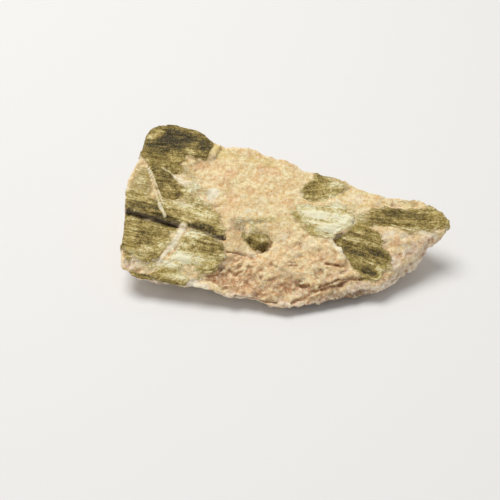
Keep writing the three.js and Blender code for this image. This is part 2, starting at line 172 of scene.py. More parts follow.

# Patches of the broken face: u, v, half length, half width, turn in degrees and strength.
# "green" brings crystal colour over the stone, "bare" brings stone colour over a crystal, and
# "veil" brings crystal colour back over a bare patch. The others tint the stone or the crystals,
# and some are painted light: "dark" is partly painted shade (the top of the peak, the lower flank
# of the left band, the hollow), "pale" is partly painted sheen (on the left sheen crystal and the
# pale crystal), and "brown" is partly painted shade (along the lower rim and in small dips).
PATCHES = {
    "green": [
        (-37.6, 7, 1.2, 3.8, 16, 0.5), (-39.6, 9, 3.4, 5.2, -10, 0.66), (-37, 13, 2, 2.6, 10, 0.6),
        (-26.4, 9.4, 3.2, 2.6, -30, 0.42), (-23, 5, 3.4, 2.2, -30, 0.45), (-36, -15.4, 6.4, 2, -8, 0.62),
        (-30, -8.4, 2.6, 3.4, -40, 0.75), (-41, 4.2, 3.6, 2.2, 0, 0.8), (-23, 17, 4.4, 2, -14, 0.6),
        (-28, 12, 3.5, 2, 0, 0.6), (-27.5, 5.5, 4, 3.5, -30, 0.75), (-32, 3.4, 5, 2.6, -15, 0.85),
        (-24.5, 1.4, 5.5, 2.8, -28, 0.72), (-19.4, -3.2, 2.8, 2.6, -30, 0.66),
        (-42.4, -11, 1.8, 4.5, 0, 0.75), (-35.5, -15, 6, 2, -12, 0.7),
        (-37.5, -19.2, 6.4, 1.4, -12, 0.95), (-31, -18, 5.6, 2.4, -14, 0.66),
        (-24.5, -17.5, 3.8, 1.8, -14, 0.7), (-7.5, -3.6, 6.5, 0.9, 2, 0.6),
        (-10.6, -6.6, 1.3, 3.4, 24, 0.62), (-13.4, -5.6, 2.4, 3.4, 10, 0.45), (-4, -5, 3, 1.4, 0, 0.6),
        (2.8, -2.4, 1.2, 2.8, 24, 0.85), (6, -6.6, 3.6, 1, -34, 0.85), (10.5, -8.2, 3.4, 1, -14, 0.8),
        (18.8, -4.8, 5.6, 1.6, 6, 0.85), (21, -2.4, 3.8, 1.6, 10, 0.62), (14, 7.4, 4.5, 1.8, -20, 0.5),
        (17.6, 0.6, 2.4, 3, 0, 0.35), (31.5, 1.4, 4.4, 1.5, -10, 0.5), (34.5, -6.6, 5.4, 1.1, -6, 0.66),
        (42.6, -0.6, 2.6, 2.6, -30, 0.8), (26.4, -15.6, 1.4, 3.4, 20, 0.6), (15, -9.4, 3, 1, -40, 0.75),
        (-19, -10.6, 1.6, 2.6, 0, 0.55),
    ],
    "veil": [
        (-9.3, -5.4, 0.9, 2.7, 14, 0.95), (-13.2, -4.6, 1.8, 2.6, -16, 0.5),
        (-11.6, -7.6, 1, 1.6, -30, 0.6),
    ],
    "bare": [
        (-26, 13.8, 3.6, 1.7, 12, 0.75), (-28.8, 9.2, 2.6, 1.5, -28, 0.8),
        (-26.8, 15.2, 1.5, 1.3, 0, 0.6), (-17.6, -4.6, 1, 2.6, -15, 0.5), (-31, -7.6, 1.3, 1.8, -20, 0.7),
        (-19.2, 16.2, 2.8, 1.8, -20, 0.8), (-18.6, 18.8, 2.2, 3.2, 0, 1), (-10.8, -5, 3, 2.8, 0, 1.2),
        (-5.4, -5.2, 3, 1.7, 0, 1.2), (-26, -18.2, 4.6, 2.2, -12, 0.7), (17.4, 0.8, 1.6, 2.6, 0, 0.7),
        (-6, -11.6, 2.4, 0.9, -10, 0.6), (10.6, 7.4, 1.6, 1.2, -20, 0.3), (14.6, 9, 3.2, 1.7, -20, 0.6),
        (24, 0.6, 3, 0.9, -6, 0.7), (30, 1.2, 4.4, 1.2, -8, 0.8), (27, -6.6, 3.4, 0.9, -5, 0.7),
        (37, -7, 3, 0.7, -12, 0.6),
    ],
    "dark": [
        (-31, 20.8, 7.4, 3, -6, 1), (-29, 22.6, 6, 1.4, -16, 0.8), (-34.5, 18.4, 3.6, 2, 0, 0.6),
        (-22.4, 19.2, 3.6, 2.6, -20, 0.65), (-38.6, 0.8, 5.6, 1.7, -10, 0.95), (-33, -2.6, 5, 1, -14, 1),
        (-21.5, -6.2, 4, 1.3, -16, 1), (-22.4, -8.4, 4, 0.6, -14, 0.8), (-21, -11.6, 4.2, 2, -12, 0.6),
        (-39, -9, 2.8, 3.2, 0, 0.3), (-36, -13, 3.6, 1.6, -5, 0.45), (-33, 6.6, 2.6, 3.8, 10, 0.35),
        (-30, 4.4, 1.8, 1.4, 0, 0.45), (7, 6.2, 2.4, 1.7, 0, 0.5), (2.8, -2.8, 0.9, 2.6, 24, 0.6),
        (6, -6.4, 3.4, 0.7, -34, 0.6), (9.7, 8.8, 3, 1, -20, 0.5), (18.6, -12.4, 5.4, 1.4, -24, 0.7),
        (16.4, -9.6, 3.4, 0.7, -24, 0.7), (23.6, -12.6, 4, 1, -22, 0.7), (21.5, -17.4, 3, 1.3, -14, 0.7),
        (28.4, -1.4, 3.6, 1.6, -8, 0.6), (26, -3.6, 3.4, 1.2, -5, 0.5), (36.5, -2.6, 3.6, 1.4, -8, 0.5),
        (-9.6, -9.2, 1.2, 2.4, 20, 0.8), (-6.4, -10, 2.8, 1.6, -6, 1.3), (-34, -18.4, 4.5, 1.2, -10, 0.6),
        (-4.4, -8, 1.2, 1.4, 0, 0.6), (-37, -19.4, 5.4, 1.1, -10, 0.7),
        (-31.5, -20.4, 3.6, 0.8, -10, 0.5),
    ],
    "pale": [
        (-36.4, 22.6, 2.6, 1.5, 28, 1), (-36.8, 22.4, 2.8, 1.5, 30, 1), (-26.4, 17.2, 2, 1.3, -25, 0.8),
        (-30, 15, 4.2, 1.2, -6, 0.3), (-38.2, 12, 0.7, 2.8, 15, 0.55), (-26.6, 11.6, 2.6, 1.8, -10, 0.6),
        (-28.6, 7.6, 1.6, 1.6, -30, 0.6), (-28, 0.8, 4, 1.2, -14, 0.6), (-22.4, -1.8, 4, 1, -16, 0.6),
        (-25.6, -7.6, 4.6, 1, -12, 0.85), (-28.5, -10.4, 3, 0.7, -12, 0.6), (-28.4, -14, 4, 1.7, -8, 1),
        (-32.6, -15.8, 4.4, 1.2, -10, 0.9), (-24.6, -14.6, 3, 0.8, -10, 0.6),
        (-33.6, -10.6, 0.8, 0.9, 0, 0.7), (-39.4, 10.6, 3, 4, 0, 0.55), (-37, -12.8, 5.4, 1.8, -8, 0.6),
        (-41.4, -6, 1, 5, 0, 0.4), (-26, 6.6, 2.8, 3.4, -20, 0.9), (-25.6, 11, 2.6, 1.6, 0, 0.6),
        (-27, 9.6, 3.4, 2.8, -30, 0.6), (-22.6, 3.6, 4, 2.4, -30, 0.5),
        (-36.4, -16.4, 5.4, 1.2, -10, 0.6), (-30, -8.4, 1.8, 2.8, -40, 0.8),
        (-7.5, -3.6, 6.5, 1.2, 2, 0.6), (-10.6, -5.6, 3, 2.4, 0, 0.5), (13.4, 7.4, 2.4, 1.6, -20, 0.35),
        (-30.6, -19, 4, 1, -12, 0.7), (8.4, -1.9, 3.4, 1.3, -12, 1), (12.6, -6.2, 4.4, 1.3, -4, 1),
        (14.6, -2.6, 3, 1, -8, 0.6), (13, 2.6, 3.8, 2.2, 0, 0.7), (16.7, -8.4, 4, 0.6, -14, 0.6),
        (20, -7, 3.2, 0.6, -10, 0.5), (24.4, -17.4, 0.8, 1.8, 20, 0.8),
        (18.8, -11.2, 3.6, 0.35, -24, 0.7), (21, -14.6, 3.4, 0.4, -26, 0.75),
        (26.2, -16.8, 1.3, 1.2, 0, 0.5), (33, -5.6, 4, 0.8, -6, 0.6), (40.4, -2.4, 3.6, 0.8, -8, 0.3),
        (-6.2, -8.4, 1.8, 0.7, 10, 0.9), (-32.6, 5.4, 2.4, 3.2, 10, 0.55),
    ],
    "yellow": [
        (-37.8, 7.4, 1.3, 4, 16, 0.8), (-37.2, 15.6, 3.2, 2.8, 0, 0.4), (-30, 14, 4.2, 1.8, 0, 0.45),
        (-42.1, -9.2, 1.2, 5, 0, 0.8), (-39.6, 8.6, 2.6, 4.6, 0, 0.5), (-22, -16, 3.4, 1.6, -12, 0.8),
        (-31, -18, 4.6, 1.4, -12, 0.7), (9.2, 6.2, 3.4, 2.4, -10, 0.4), (14, 4.6, 3.6, 2, 0, 0.6),
        (3.4, -2.8, 1.5, 2.8, 22, 0.9), (8.4, -7, 4, 0.9, -26, 0.9), (19.4, -5.4, 5.6, 1.2, 4, 0.8),
        (26, -17, 2.2, 1.4, -10, 0.8), (41.6, -2.6, 2.8, 2.4, -20, 0.7), (-4.4, -3.4, 6, 1.1, 3, 0.9),
        (-7, -6.4, 3, 1.6, 0, 0.5), (33, 0.6, 3, 1.4, -10, 0.5), (-17, 16.6, 5.6, 1.6, -12, 0.75),
        (-7, 14.2, 6.6, 1.6, -16, 0.75), (-12, 12.6, 3, 1.2, 0, 0.45), (24, 4.2, 6, 1.3, -14, 0.55),
        (18, 1, 3.4, 2.6, 0, 0.5), (-18.6, 17.4, 2.8, 2.8, 0, 1),
    ],
    "peach": [
        (-23.8, 12.8, 3, 1.7, 10, 0.7), (-16.6, 10, 4.4, 1.6, 20, 0.75), (-18.6, 6.8, 3, 1.3, -20, 0.5),
        (-4.2, 11.6, 4.6, 2, -20, 0.7), (-8.6, 9, 2.2, 1.4, 30, 0.55), (-14.6, 3.4, 3.2, 1.8, 30, 0.75),
        (-16.6, -0.6, 3.4, 1.5, 40, 0.65), (-0.4, 1.6, 2.4, 1.3, 0, 0.6), (-22, 3.4, 2.6, 1.2, -20, 0.6),
        (-30.6, 4.8, 2.6, 2.4, 0, 0.45), (-37.6, 7.4, 1.4, 1.6, 0, 0.6),
        (-14.8, -14.4, 5.6, 2.4, 20, 0.7), (-19.2, -18.7, 3.5, 2, -20, 0.95),
        (-12.6, -20.3, 5.9, 2, -10, 0.9), (-6.8, -15.6, 4.8, 2.6, 20, 0.5),
        (1.1, -17.4, 5.4, 2.6, 20, 0.5), (8, -14.6, 4.4, 2.2, 30, 0.55), (-1, -21.6, 5.6, 1.9, 0, 0.8),
        (1.6, -11.6, 3.2, 1.4, 30, 0.5), (13, -16, 3, 2, 30, 0.5), (28.8, -9.5, 2.8, 1.8, 20, 0.75),
        (32, -8.6, 2, 1.6, 0, 0.5), (-42, -16.2, 2.2, 1.6, 0, 0.6), (-10, -22.6, 8, 1.8, -6, 0.9),
        (4, -22.6, 6, 1.8, 8, 0.7), (24, 3, 2.6, 1.2, -20, 0.5), (29.6, -1, 2.2, 0.9, 0, 0.5),
    ],
    "brown": [
        (-17.4, -16.7, 1.4, 0.5, 30, 0.9), (-16.3, -18.4, 1.8, 0.6, -10, 0.9),
        (-12.6, -15.9, 1.6, 0.4, 40, 0.7), (3.1, -20.3, 2.2, 0.6, 20, 0.9),
        (11.7, -15.9, 2.6, 0.3, -8, 0.9), (14.6, -18, 2.4, 0.4, 20, 0.8), (1.4, -15.2, 1.4, 0.35, 0, 0.7),
        (-10, -18.3, 1.3, 0.45, 60, 0.8), (-5.3, -20.3, 1.6, 0.4, 0, 0.7), (-20.6, -20, 1.8, 0.6, 0, 0.8),
        (-11.3, -22.6, 2.7, 0.5, -10, 0.6), (6.6, -18.6, 1.8, 0.6, 40, 0.7),
        (0.4, -11, 1.9, 0.3, -50, 0.5), (-12.7, -6, 0.5, 2.6, 25, 0.8), (-13.8, -5, 3, 2, -45, 0.5),
        (-11.2, -5.4, 0.5, 2.4, 12, 0.6), (-23.8, 0.2, 1.4, 0.9, -20, 0.7),
        (-19.4, 0.8, 1, 0.7, -20, 0.6), (-31.4, 4, 1.6, 1.8, 0, 0.5), (29, 1.2, 1.4, 0.7, 0, 0.6),
        (-15.6, 11, 1.2, 0.5, 0, 0.4), (-17, -20.6, 6, 2, -12, 0.62), (-9, -21, 7, 2, -6, 0.52),
        (-2, -22.6, 6, 2.2, 0, 0.55), (5, -22.4, 5, 2, 12, 0.6), (12, -21.6, 5, 2.4, 14, 0.6),
        (18, -20.6, 4, 1.6, 14, 0.5), (-11.2, -7, 1.3, 3, 18, 0.75), (-8.6, -3.8, 5, 0.6, 0, 0.5),
        (8.2, -18.6, 2.4, 1.2, 55, 0.6), (4, -25.6, 5, 1.6, 8, 0.64), (12, -24, 5.5, 1.8, 12, 0.66),
        (19, -22.4, 4.5, 1.8, 18, 0.66), (25.5, -19.4, 3.5, 1.6, 28, 0.56),
        (-1.5, -19.4, 4, 1.4, 0, 0.48), (-5, -24.8, 7, 1.5, -2, 0.6), (-13.2, -5.2, 2, 3, 15, 0.5),
    ],
    "rosy": [
        (-42, -15.6, 2.6, 2.2, 0, 0.9), (-24, -21.6, 5, 1.3, -12, 0.9), (-13, -24.6, 7, 1.5, -10, 0.95),
        (-1, -27, 7, 1.8, 4, 0.9), (10, -25.6, 6, 1, 12, 0.8), (12, -19.4, 5, 1, 22, 0.6),
        (19, -21.6, 4, 1.6, 16, 0.9), (28, -15, 4, 2.4, 30, 1), (33, -12, 5, 2.4, 28, 1),
        (37, -9.6, 5, 1.8, 26, 0.9), (-13.6, -5.4, 2.2, 3.2, 15, 0.5), (27, -9, 2, 1.6, 0, 0.5),
    ],
    "white": [
        (-20.2, 4.2, 2, 2.6, -10, 1.3), (-10.3, -0.7, 1.8, 1, 0, 0.55), (-28.4, 8.2, 2.1, 1.4, -40, 0.75),
        (-11, 13, 3.7, 1.2, -10, 0.35), (-9.2, -12.7, 2.6, 0.9, -20, 0.5), (-3, -11, 1.6, 2, 20, 0.45),
        (2, -13, 2, 1, -30, 0.4), (18.6, 2.6, 3, 2.2, 0, 0.5), (27.5, 3.2, 2.7, 0.9, 10, 0.4),
        (-29, -20, 4.7, 1, -15, 0.8), (-24.2, -21.4, 4.2, 1.2, -15, 0.8), (-39.4, -15.4, 3, 1.6, -6, 0.6),
        (27.4, -7.6, 3, 1.6, 0, 0.55), (31.6, -8.4, 2.6, 1.4, 0, 0.55), (-1.6, -8.6, 3.4, 2.4, 20, 0.4),
        (-12, -12.6, 3.6, 1.2, 0, 0.4), (6, -10.4, 3.4, 1.6, -30, 0.45), (38.9, -7.6, 4.7, 0.8, -14, 0.7),
        (13, -11.4, 4.2, 0.6, -48, 1), (3.8, 11.8, 5.3, 1, -14, 0.35),
    ],
}

# Hollows in the face, given in the same way, with their depth in millimetres.
PITS = [
    (-7.4, -9.2, 3.0, 2.2, -10, 1.2),
    (-6.4, -10.4, 2.2, 1.2, -10, 1.3),
    (-34.0, -2.6, 9.0, 0.8, -14, 0.5),
    (-37.6, 24.6, 3.8, 2.8, -20, 1.2),
]

# Where the rim of the hollow by the small crystal is worn away, as a patch, how deep that reaches
# and how often it is smoothed.
WORN_HOLLOW = (-8.8, -6.8, 6.4, 6.0, 0, 1.0)
WORN_ABOVE_W = -4
WORN_ROUNDS = 40

# Lines drawn across the face: points (u, v) and half width.
LATHS = [
    ([(-38.6, 13.6), (-36.4, 6.9), (-34.4, 0.8)], 0.16),
    ([(-37.8, 12.6), (-35.5, 6.9), (-33.4, 0.8)], 0.2),
    ([(-34.6, 1.2), (-33.7, -1.0), (-32.9, -2.6)], 0.5),
    ([(-27.8, -5.4), (-29.4, -8.4), (-31.4, -11.6)], 1.0),
    ([(-30.2, -10.0), (-32.4, -12.6), (-34.6, -15.6)], 0.6),
    ([(-34.2, 12.4), (-32.0, 11.0), (-29.2, 8.6), (-27.6, 6.6)], 0.2),
    ([(-31.0, 9.6), (-28.6, 8.8)], 0.2),
]
# The dark cracks are painted with shadow: the shade under the step where the crystal above stands over
# the one below.
DARK_CRACKS = [
    ([(-43.2, -0.8), (-37.0, -2.6), (-29.6, -5.0)], 0.6),
    ([(-26.4, -5.1), (-21.5, -7.0), (-16.9, -9.0)], 0.5),
]
CRACKS = [
    *DARK_CRACKS,
    ([(-19.8, -12.1), (-14.8, -12.7), (-9.5, -13.3), (-4.1, -9.2)], 0.22),
    ([(-14.0, -24.4), (-9.0, -25.6), (-3.0, -26.4)], 0.2),
    ([(1.0, -26.2), (6.3, -23.3), (14.3, -21.5), (16.7, -19.9), (20.1, -19.6)], 0.45),
    ([(8.0, -22.2), (14.0, -20.2), (17.2, -19.2)], 0.25),
    ([(2.6, -21.1), (4.2, -21.5), (5.4, -21.2)], 0.4),
    ([(10.0, -16.0), (14.3, -16.5)], 0.2),
    ([(0.9, -16.0), (2.5, -16.0)], 0.2),
    ([(-15.5, -16.9), (-14.2, -18.5), (-11.8, -17.4)], 0.3),
    ([(-22.0, -16.4), (-19.6, -17.6), (-18.4, -16.6)], 0.3),
]

# Each crystal: its node, the turn of its length on the face, how light it is, how fine its
# grooves are, and its finish.
GREEN = "green_tourmaline"
PALE = "pale_tourmaline"
CRYSTALS = [
    {"node": "tourmaline_peak", "turn": -9, "tone": 0.4, "pitch": 0.8, "finish": GREEN},
    {"node": "tourmaline_left_band", "turn": -15, "tone": 0.6, "pitch": 0.7, "finish": GREEN},
    {"node": "tourmaline_left_dull", "turn": -13, "tone": 0.5, "pitch": 0.7, "finish": GREEN},
    {"node": "tourmaline_left_sheen", "turn": -12, "tone": 0.66, "pitch": 0.75, "finish": GREEN},
    {"node": "tourmaline_hollow", "turn": 38, "tone": 0.62, "pitch": 0.7, "finish": GREEN},
    {"node": "tourmaline_olive", "turn": 4, "tone": 0.62, "pitch": 0.9, "finish": GREEN},
    {"node": "tourmaline_pale", "turn": -10, "tone": 0.8, "pitch": 1.2, "finish": PALE},
    {"node": "tourmaline_dark", "turn": -20, "tone": 0.48, "pitch": 0.8, "finish": GREEN},
    {"node": "tourmaline_tip", "turn": -4, "tone": 0.52, "pitch": 0.8, "finish": GREEN},
]


def srgb(red, green, blue):
    """A colour given as it looks on a screen, 0 to 255, as a linear colour."""

    def linear(channel):
        share = channel / 255
        if share <= 0.04045:
            return share / 12.92
        return ((share + 0.055) / 1.055) ** 2.4

    return (linear(red), linear(green), linear(blue), 1.0)


def smoothstep(low, high, value):
    """0 below low, 1 above high, and smooth between them, for numbers or arrays."""
    share = np.clip((value - low) / (high - low), 0, 1)
    return share * share * (3 - 2 * share)


# The shape of each piece


def merged_copy(node, name):
    """A new object with a CAD node's shape, its loose triangles joined into one skin."""
    shape = bmesh.new()
    shape.from_mesh(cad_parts[node].data)
    bmesh.ops.remove_doubles(shape, verts=shape.verts, dist=SAME_POINT * MM)
    mesh = bpy.data.meshes.new(name)
    shape.to_mesh(mesh)
    shape.free()
    piece = bpy.data.objects.new(name, mesh)
    bpy.context.scene.collection.objects.link(piece)
    return piece


def along_face(normals):
    """The part of each normal that lies in the broken face."""
    outward = np.array(FACE_TO_BLOCK.col[2][:3])
    return normals - (normals @ outward)[:, None] * outward


def spread_on_face(piece, out):
    """Widens a piece along the broken face, without raising it."""
    points, normals = points_and_normals(piece)
    move_to(piece, points + along_face(normals) * np.reshape(out, (-1, 1)))


def join_into(piece, others):
    """Adds others' skins to a piece, and removes them as objects."""
    shape = bmesh.new()
    for part in (piece, *others):
        shape.from_mesh(part.data)
    shape.to_mesh(piece.data)
    shape.free()
    for other in others:
        bpy.data.objects.remove(other)


def nearness(nodes):
    """A function that gives the distance from points to the nearest of some CAD nodes."""
    shape = bmesh.new()
    for node in nodes:
        shape.from_mesh(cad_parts[node].data)
    tree = BVHTree.FromBMesh(shape)
    shape.free()
    return lambda points: np.array([tree.find_nearest(Vector(p) * MM)[3] for p in points]) / MM


def even_skin(piece, voxel):
    """Remeshes a piece into small even quads, so that its surface can be worked in detail."""
    remesh = piece.modifiers.new("even skin", "REMESH")
    remesh.mode = "VOXEL"
    remesh.voxel_size = voxel * 1 * MM
    remesh.adaptivity = 0
    evaluated = piece.evaluated_get(bpy.context.evaluated_depsgraph_get())
    mesh = bpy.data.meshes.new_from_object(evaluated)
    piece.modifiers.clear()
    piece.data = mesh
    mesh.name = piece.name


def soften(piece, times, chosen=None):
    """Rounds off steps in the skin, everywhere or at the chosen vertices only."""
    shape = bmesh.new()
    shape.from_mesh(piece.data)
    shape.verts.ensure_lookup_table()
    verts = shape.verts if chosen is None else [shape.verts[i] for i in np.flatnonzero(chosen)]
    for _ in range(times):
        bmesh.ops.smooth_vert(
            shape,
            verts=verts,
            factor=0.5,
            use_axis_x=True,
            use_axis_y=True,
            use_axis_z=True,
        )
    shape.to_mesh(piece.data)
    shape.free()


def points_and_normals(piece):
    """A piece's vertices in millimetres and their normals, as arrays."""
    mesh = piece.data
    points = np.empty(len(mesh.vertices) * 3)
    mesh.vertices.foreach_get("co", points)
    normals = np.empty(len(mesh.vertices) * 3)
    mesh.vertices.foreach_get("normal", normals)
    return points.reshape(-1, 3) / MM, normals.reshape(-1, 3)


def on_face(points):
    """Points of the block in the face's own axes."""
    return points @ BLOCK_TO_FACE[:3, :3].T + BLOCK_TO_FACE[:3, 3]


def move_to(piece, points):
    """Moves a piece's vertices to new places, given in millimetres."""
    piece.data.vertices.foreach_set("co", (points * MM).ravel())
    piece.data.update()


def draw_in_ends(piece):
    """Draws in the pointed end of the block and its lower left corner, which are worn round."""
    points, _ = points_and_normals(piece)
    place = on_face(points)[:, 0]
    past = np.maximum(place - POINT_FROM, 0) * (1 - POINT_SHARE)
    past += np.minimum(place - CORNER_FROM, 0) * (1 - CORNER_SHARE)
    along = np.array(FACE_TO_BLOCK.col[0][:3])
    move_to(piece, points - past[:, None] * along)


def lumps(points, size, seed):
    """Smooth noise, -1 to 1, whose lumps are this size (one size, or one for each axis)."""
    scaled = points / np.asarray(size) + seed
    return np.array([noise.noise(Vector(p)) for p in scaled])


def rough(points, size, octaves, seed):
    """Noise with finer noise on top of it."""
    scaled = points / size + seed
    return np.array([noise.fractal(Vector(p), FADE, FINER, octaves) for p in scaled])


def facets(points, size, seed):
    """Relief of small flat faces that lean each its own way, as cleaved grains have."""
    heights = []
    for p in points / size + seed:
        place = Vector(p)
        centre = noise.voronoi(place)[1][0]
        heights.append((place - centre).dot(noise.noise_vector(centre * LEAN_SPREAD)))
    return np.array(heights)


def raggedness(points):
    """Noise that frays the edges of patches and lines, the same on every piece."""
    return lumps(points, *WARP) + FRAY_SHARE * lumps(points, *FRAY)


def line_height(line, at):
    """The second number along a line of points, at values of the first."""
    return np.interp(at, [p[0] for p in line], [p[1] for p in line])


def patch_field(face, patches, ragged):
    """How strongly the patches cover each point of the face. ragged is noise there."""
    field = np.zeros(len(face))
    for u, v, long, wide, turn, strength in patches:
        angle = math.radians(turn)
        du = face[:, 0] - u
        dv = face[:, 1] - v
        along = (du * math.cos(angle) + dv * math.sin(angle)) / long
        across = (dv * math.cos(angle) - du * math.sin(angle)) / wide
        away = np.hypot(along, across) + ragged * PATCH_FRAY
        field = np.maximum(field, strength * (1 - smoothstep(*PATCH_EDGE, away)))
    return field


def line_field(face, lines, ragged):
    """How much each point lies on one of the lines."""
    field = np.zeros(len(face))
    for line, half_width in lines:
        for (u0, v0), (u1, v1) in zip(line, line[1:]):
            run = np.array([u1 - u0, v1 - v0])
            offset = face[:, :2] - np.array([u0, v0])
            share = np.clip(offset @ run / (run @ run), 0, 1)
            away = np.hypot(*(offset - share[:, None] * run).T) / half_width
            away += ragged * LINE_FRAY
            field = np.maximum(field, 1 - smoothstep(*LINE_EDGE, away))
    return field


def set_attribute(piece, name, values):
    """Stores one number for each vertex, for the material to read."""
    attribute = piece.data.attributes.new(name, "FLOAT", "POINT")
    attribute.data.foreach_set("value", np.clip(values, 0, 1).astype(np.float32))


def shade_smooth(piece):
    """Shades across the small quads instead of showing each."""
    piece.data.polygons.foreach_set("use_smooth", [True] * len(piece.data.polygons))


noise.seed_set(GRAIN_SEED)
CRYSTAL_NODES = [crystal["node"] for crystal in CRYSTALS]
TO_STONE = nearness(["feldspar_matrix"])
TO_CRYSTALS = nearness(CRYSTAL_NODES)
TO_EACH_CRYSTAL = [nearness([node]) for node in CRYSTAL_NODES]


def depth_in_crystal(points):
    """How deep each point lies inside a crystal: less than 0 in the stone beside it."""
    return TO_STONE(points) - TO_CRYSTALS(points)


NEAR_ENOUGH = 0.1  # keeps a weight finite at a distance of nothing


def tone_near(points):
    """The lightness of the crystals near each point, the nearest counting most."""
    total = np.zeros(len(points))
    weights = np.zeros(len(points))
    for crystal, distance in zip(CRYSTALS, TO_EACH_CRYSTAL):
        weight = 1 / (distance(points) ** 2 + NEAR_ENOUGH)
        total += weight * crystal["tone"]
        weights += weight
    return total / weights


def turned(face, turn):
    """Face coordinates whose first axis runs along a crystal that lies at this turn."""
    angle = math.radians(turn)
    along = face[:, 0] * math.cos(angle) + face[:, 1] * math.sin(angle)
    across = face[:, 1] * math.cos(angle) - face[:, 0] * math.sin(angle)
    return np.column_stack([along, across, face[:, 2]])


def paint(piece, points, top, turn, tone):
    """Gives a piece the fields its material reads. They run on from one piece to the next."""
    face = on_face(points)
    lay = turned(face, turn)
    wall = 1 - top
    ragged = raggedness(points)
    striped = STRIPE_SHARES[0] * ragged + STRIPE_SHARES[1] * lumps(lay, *STRIPES)
    on_top = smoothstep(*PAINT_W, face[:, 2])
    fields = {}
    for name, patches in PATCHES.items():
        broken = striped if name in ("dark", "pale", "yellow") else ragged
        fields[name] = patch_field(face, patches, broken) * on_top
    laths = line_field(face, LATHS, LATH_PAINT_CALM * ragged) * top
    cracks = line_field(face, CRACKS, ragged) * on_top
    # Painted shadow along the dark cracks, under the step of the crystal above.
    fields["crack"] = line_field(face, DARK_CRACKS, DARK_CRACK_CALM * ragged) * on_top

    crystal = smoothstep(*GREEN_DEPTH, depth_in_crystal(points) + CRYSTAL_FRAY * ragged)
    crystal *= 1 - (1 - CRYSTAL_ON_WALL) * wall
    green = np.maximum(crystal, fields["green"] * top) * (1 - fields.pop("bare"))
    green = np.maximum(green, fields.pop("veil") * top)
    fields["green"] = green * (1 - LATH_OVER_CRYSTAL * laths)
    for name in ("pale", "dark", "peach", "brown", "rosy"):
        fields[name] *= 1 - laths
    fields["pale"] = np.maximum(fields["pale"], laths)
    fields["white"] = np.maximum(fields["white"], LATH_WHITE * laths)

    # Painted shade: brown on the front wall, which faces down out of the light, and along the cracks.
    shaded = smoothstep(*SHADED_U, face[:, 0]) * (1 - smoothstep(*SHADED_END_U, face[:, 0]))
    shaded *= 1 - smoothstep(*SHADED_END_V, face[:, 1])
    fields["brown"] = np.maximum(fields["brown"], CRACK_PAINTED_SHADE * cracks)
    fields["brown"] = np.maximum(fields["brown"], SHADE_BROWN * shaded * wall)
    fields["wall"] = wall
    fields["tone"] = tone
    for name, values in fields.items():
        set_attribute(piece, name, values)
    attribute = piece.data.attributes.new("lay", "FLOAT_VECTOR", "POINT")
    attribute.data.foreach_set("vector", lay.astype(np.float32).ravel())


def stone_relief(points, face, top, coarse):
    """The height of the stone's grains, crumbs, ledges and pits over its plain skin."""
    kinds = np.column_stack(
        [
            rough(points, *BROAD),
            rough(points, *MEDIUM),
            facets(points, *CLEAVED),
            facets(points, *FINELY_CLEAVED),
        ]
    )
    layered = face / LEDGE_STRETCH
    layered[:, 2] += LEDGE_WARP * lumps(points, *WARP)
    ledges = np.tanh(LEDGE_CRISPNESS * lumps(layered, *LEDGES))
    on_face_relief = kinds @ PLAIN_RELIEF * (1 - coarse) + kinds @ COARSE_RELIEF * coarse
    wall_relief = kinds @ WALL_RELIEF + LEDGE_RELIEF * ledges
    pitted = smoothstep(*PITTED, lumps(points, *PITTING)) * (coarse + WALL_PITS * (1 - top))
    return on_face_relief * top + wall_relief * (1 - top) - PIT_DEPTH * pitted


def stone_matrix():
    """The feldspar block, with its grains, ledges and cracks."""
    piece = merged_copy("feldspar_matrix", "stone_matrix")
    fills = [merged_copy(node, "fill") for node in CRYSTAL_NODES]
    for fill in fills:
        spread_on_face(fill, STONE_FILL)
    join_into(piece, fills)
    even_skin(piece, STONE_VOXEL)
    soften(piece, times=2)
    points, _ = points_and_normals(piece)
    face = on_face(points)
    worn = patch_field(face, [WORN_HOLLOW], lumps(points, *WARP)) * (face[:, 2] > WORN_ABOVE_W)
    soften(piece, times=WORN_ROUNDS, chosen=worn > 0.5)

    points, normals = points_and_normals(piece)
    face = on_face(points)
    depth = depth_in_crystal(points)
    ragged = raggedness(points)
    facing = normals @ BLOCK_TO_FACE[2, :3]
    top = smoothstep(*STONE_FACING, facing) * smoothstep(*FACE_W, face[:, 2])
    below = line_height(LEDGE_LINE, face[:, 0]) - face[:, 1]
    crumbly = patch_field(face, [CRUMBS], ragged)
    coarse = smoothstep(*COARSE_BELOW, below) * top
    coarse *= LEAST_COARSE + (1 - LEAST_COARSE) * crumbly

    height = stone_relief(points, face, top, coarse)
    height += LATH_HEIGHT * line_field(face, LATHS, LATH_CALM * ragged) * top
    height -= CRACK_DEPTH * line_field(face, CRACKS, ragged) * smoothstep(*CRACK_W, face[:, 2])
    height -= BROWN_DEPTH * patch_field(face, PATCHES["brown"], ragged) * top
    height -= patch_field(face, PITS, ragged) * top
    # Under a crystal the stone falls away, so that the crystal shows.
    covered = smoothstep(*COVERED, depth) * (1 - patch_field(face, PATCHES["bare"], ragged))
    height = height * (1 - covered) - UNDER_CRYSTAL * covered
    # The facet that the block rests on stays flat, and nothing passes below it.
    height *= smoothstep(*OFF_FLOOR, points[:, 2])
    # The dips of the relief, which the material paints with shade as crevices.
    low = np.maximum(0, -height) * (1 - smoothstep(*LOW_BESIDE, depth))

    moved = points + normals * height[:, None]
    moved[:, 2] = np.maximum(moved[:, 2], 0.0)
    move_to(piece, moved)
    soften(piece, times=1)
    draw_in_ends(piece)
    paint(piece, points, top, MAIN_TURN, tone_near(points))
    set_attribute(piece, "low", low / FULLY_LOW)
    set_attribute(piece, "coarse", coarse)
    shade_smooth(piece)
    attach(piece, "root")
    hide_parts("feldspar_matrix")
    return piece


def groove_noise(lay, pitch, long, wide, seed):
    """Noise stretched along a crystal's length."""
    return lumps(lay, (long, pitch * wide, GROOVE_GRAIN), seed)


